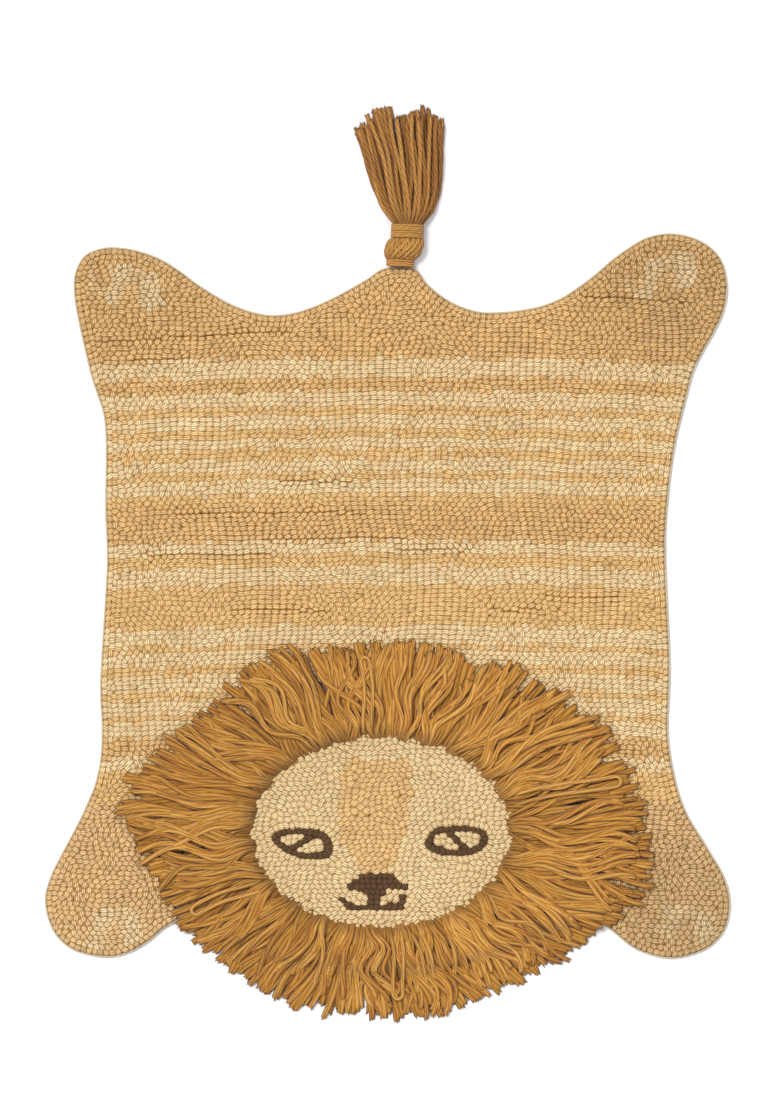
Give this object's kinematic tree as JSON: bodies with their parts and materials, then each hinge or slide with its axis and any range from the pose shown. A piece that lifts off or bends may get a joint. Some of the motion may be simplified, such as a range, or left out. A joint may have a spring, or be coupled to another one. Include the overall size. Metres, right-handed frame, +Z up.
{
  "type": "lion-shaped bath mat",
  "caption": "Bath mat shaped like a lion skin lying flat: hooked loop pile in tan and cream bands, an oval face ringed by a mane of loose yarn, and a tassel for a tail.",
  "frame": {"origin": "centre of the whole mat's box, at the bottom, on the floor that it lies on", "axes": "+Y along the mat from the face to the tail, +X to the right as seen from above with the face nearest, +Z up through the pile"},
  "size_m": [0.6864, 0.9102, 0.027],
  "materials": {
    "pile_yarn": "matt hooked loops of thick plied yarn, tan and cream",
    "mane_yarn": "matt loose plied yarn, ochre, with frayed cut ends",
    "tassel_yarn": "matt plied yarn, brown",
    "wrap_yarn": "matt yarn wound tightly",
    "ground_cloth": "plain woven cotton canvas, unbleached"
  },
  "bodies": {
    "root": {"hooked_mat": "pile_yarn", "mane_section_1": "mane_yarn", "mane_section_2": "mane_yarn", "mane_section_3": "mane_yarn", "mane_section_4": "mane_yarn", "mane_section_5": "mane_yarn", "mane_section_6": "mane_yarn", "mane_section_7": "mane_yarn", "mane_section_8": "mane_yarn", "tail_tassel": "tassel_yarn", "tail_neck_wrap": "wrap_yarn", "tail_stub_wrap": "wrap_yarn"}
  },
  "joints": []
}
